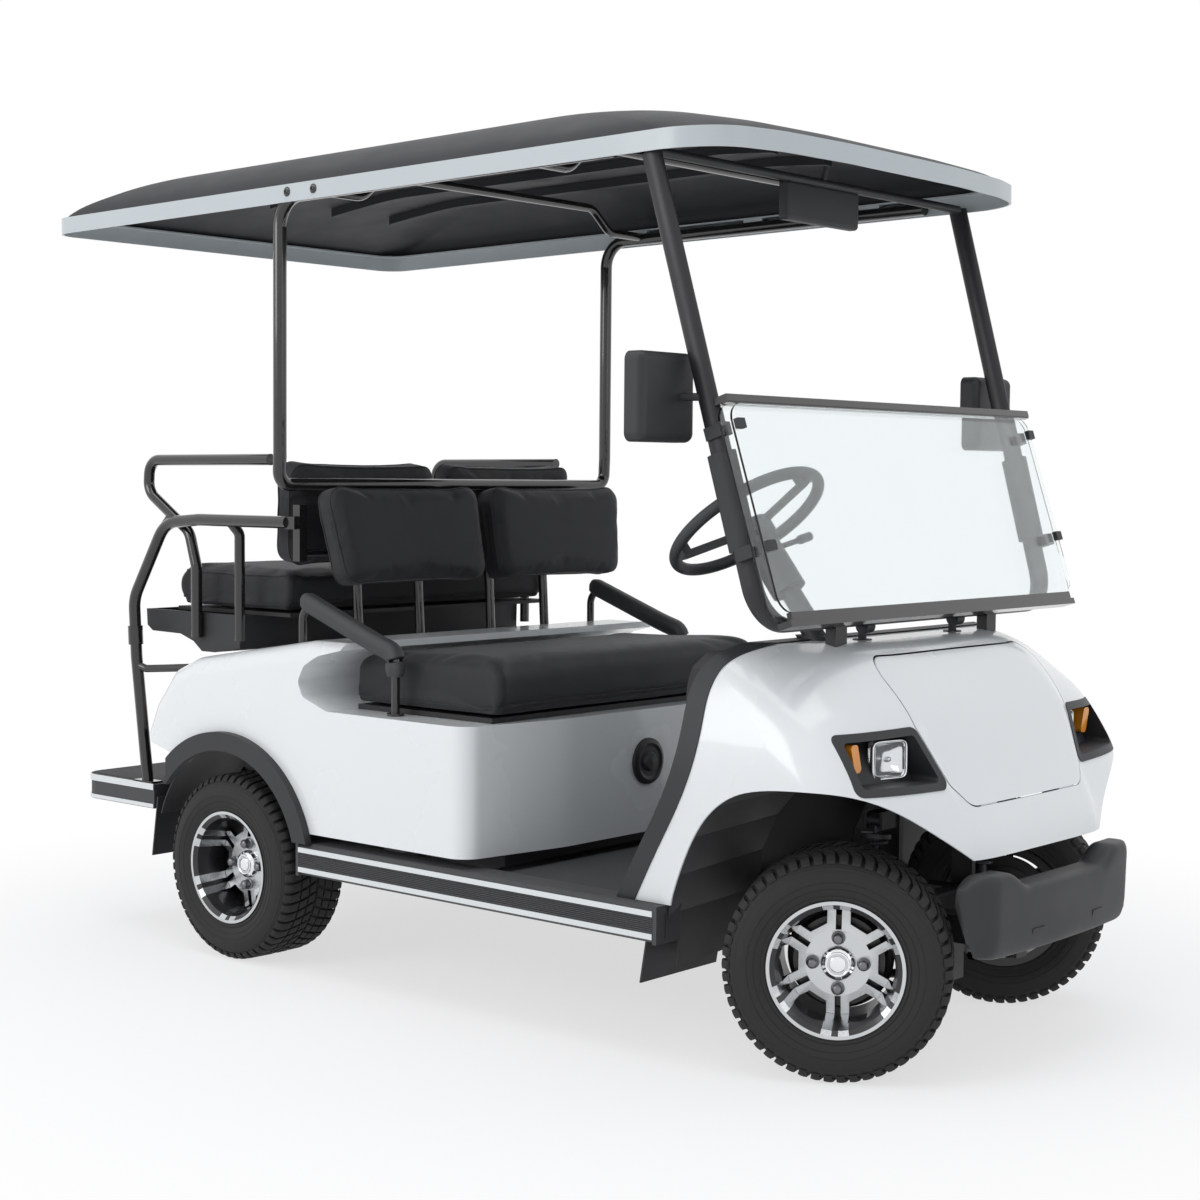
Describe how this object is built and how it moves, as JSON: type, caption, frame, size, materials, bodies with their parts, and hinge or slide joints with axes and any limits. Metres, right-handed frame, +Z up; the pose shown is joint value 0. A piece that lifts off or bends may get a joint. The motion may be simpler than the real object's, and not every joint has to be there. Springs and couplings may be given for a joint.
{
  "type": "golf cart",
  "caption": "Open electric golf cart with a forward bench, a rear-facing bench over a footplate, a fixed roof on posts, a folding windshield, grab rails and steerable front wheels.",
  "frame": {"origin": "on the ground, below the middle of the cart's overall length and width", "axes": "+X forward, towards the bumper; +Y to the cart's left; +Z up"},
  "size_m": [2.6541, 1.43, 1.9753],
  "materials": {
    "tyre": "matte black tyre rubber",
    "cast_wheel": "machined light alloy with black painted pockets",
    "body_white": "glossy white moulded panels",
    "roof_black": "charcoal, slightly textured",
    "band_grey": "light silver grey, satin",
    "frame_black": "satin black",
    "spring_steel": "dark satin steel",
    "tube_black": "gloss black powder coat",
    "pillar_black": "dark satin",
    "moulded_black": "satin black moulding",
    "dash_black": "grained black moulding",
    "sill_black": "ribbed black moulding",
    "floor_black": "satin black sheet",
    "mat_rubber": "matte ribbed rubber",
    "bright_trim": "satin bright strip",
    "clear_pane": "clear, lightly tinted",
    "lamp_clear": "clear lamp lens",
    "lamp_amber": "amber lens",
    "lamp_red": "red lens",
    "mirror": "silvered glass",
    "seat_vinyl": "black seat vinyl, matte",
    "grip_foam": "soft black grip foam",
    "battery": "black battery cases"
  },
  "bodies": {
    "cart": {"armrest_pads": "grip_foam", "battery_pack": "battery", "bonnet": "body_white", "brackets": "frame_black", "charge_port": "moulded_black", "chassis_frame": "frame_black", "cowl_trim": "moulded_black", "dashboard": "dash_black", "fender_flares": "moulded_black", "floor_mat": "mat_rubber", "floor_pan": "floor_black", "front_backrests": "seat_vinyl", "front_bumper": "moulded_black", "front_cowl": "body_white", "front_seat_cushion": "seat_vinyl", "front_suspension": "frame_black", "handrails": "tube_black", "headlamp_bezels": "moulded_black", "headlamp_lenses": "lamp_clear", "indicator_lenses": "lamp_amber", "mirror_glasses": "mirror", "mirrors": "moulded_black", "pedals": "moulded_black", "rear_axle": "frame_black", "rear_backrests": "seat_vinyl", "rear_body": "body_white", "rear_footplate": "sill_black", "rear_seat_cushion": "seat_vinyl", "rear_seat_tray": "moulded_black", "roof_band": "band_grey", "roof_posts": "tube_black", "roof_ribs": "roof_black", "roof_shell": "roof_black", "running_boards": "sill_black", "seat_boards": "frame_black", "seat_frame": "tube_black", "steering_column": "moulded_black", "suspension_springs": "spring_steel", "tail_lamps": "lamp_red", "trim_strips": "bright_trim", "wheel_liners": "moulded_black", "windshield_fittings": "moulded_black", "windshield_frame": "pillar_black", "windshield_panes": "clear_pane", "windshield_rails": "tube_black"},
    "knuckle_right": {"knuckle_right": "frame_black"},
    "knuckle_left": {"knuckle_left": "frame_black"},
    "tie_rod": {"tie_rod": "frame_black"},
    "pitman_arm": {"pitman_arm": "frame_black"},
    "steering_wheel": {"steering_wheel": "grip_foam"},
    "wheel_front_right": {"tyre_front_right": "tyre", "rim_front_right": "cast_wheel"},
    "wheel_front_left": {"tyre_front_left": "tyre", "rim_front_left": "cast_wheel"},
    "wheel_rear_right": {"tyre_rear_right": "tyre", "rim_rear_right": "cast_wheel"},
    "wheel_rear_left": {"tyre_rear_left": "tyre", "rim_rear_left": "cast_wheel"}
  },
  "joints": [
    {"name": "steer_right", "type": "hinge", "parent": "cart", "child": "knuckle_right", "pos_m": [0.98, -0.325, 0.229], "axis": [0, 0, 1], "range_deg": [-63, 3]},
    {"name": "steer_left", "type": "hinge", "parent": "cart", "child": "knuckle_left", "pos_m": [0.98, 0.325, 0.229], "axis": [0, 0, 1], "range_deg": [-63, 3]},
    {"name": "pitman_swing", "type": "hinge", "parent": "cart", "child": "pitman_arm", "pos_m": [0.98, -0.07, 0.232], "axis": [0, 0, 1], "range_deg": [-63, 3]},
    {"name": "tie_rod_pin", "type": "hinge", "parent": "knuckle_right", "child": "tie_rod", "pos_m": [0.90639, -0.3675, 0.218], "axis": [0, 0, 1], "range_deg": [-3, 63]},
    {"name": "steering_wheel_turn", "type": "hinge", "parent": "cart", "child": "steering_wheel", "pos_m": [0.668, -0.25, 1.098], "axis": [-0.6157, 0, 0.788], "range_deg": [-630, 30]},
    {"name": "spin_front_right", "type": "hinge", "parent": "knuckle_right", "child": "wheel_front_right", "pos_m": [1.0175, -0.38995, 0.229], "axis": [-0.5, 0.866, 0], "continuous": true},
    {"name": "spin_front_left", "type": "hinge", "parent": "knuckle_left", "child": "wheel_front_left", "pos_m": [0.9425, 0.38995, 0.229], "axis": [-0.5, 0.866, 0], "continuous": true},
    {"name": "spin_rear_right", "type": "hinge", "parent": "cart", "child": "wheel_rear_right", "pos_m": [-0.65, -0.495, 0.229], "axis": [0, 1, 0], "continuous": true},
    {"name": "spin_rear_left", "type": "hinge", "parent": "cart", "child": "wheel_rear_left", "pos_m": [-0.65, 0.495, 0.229], "axis": [0, 1, 0], "continuous": true}
  ],
  "couplings": [
    {"joint": "steer_left", "follows": "steer_right", "ratio": 1},
    {"joint": "pitman_swing", "follows": "steer_right", "ratio": 1},
    {"joint": "tie_rod_pin", "follows": "steer_right", "ratio": -1},
    {"joint": "steering_wheel_turn", "follows": "steer_right", "ratio": 10}
  ]
}
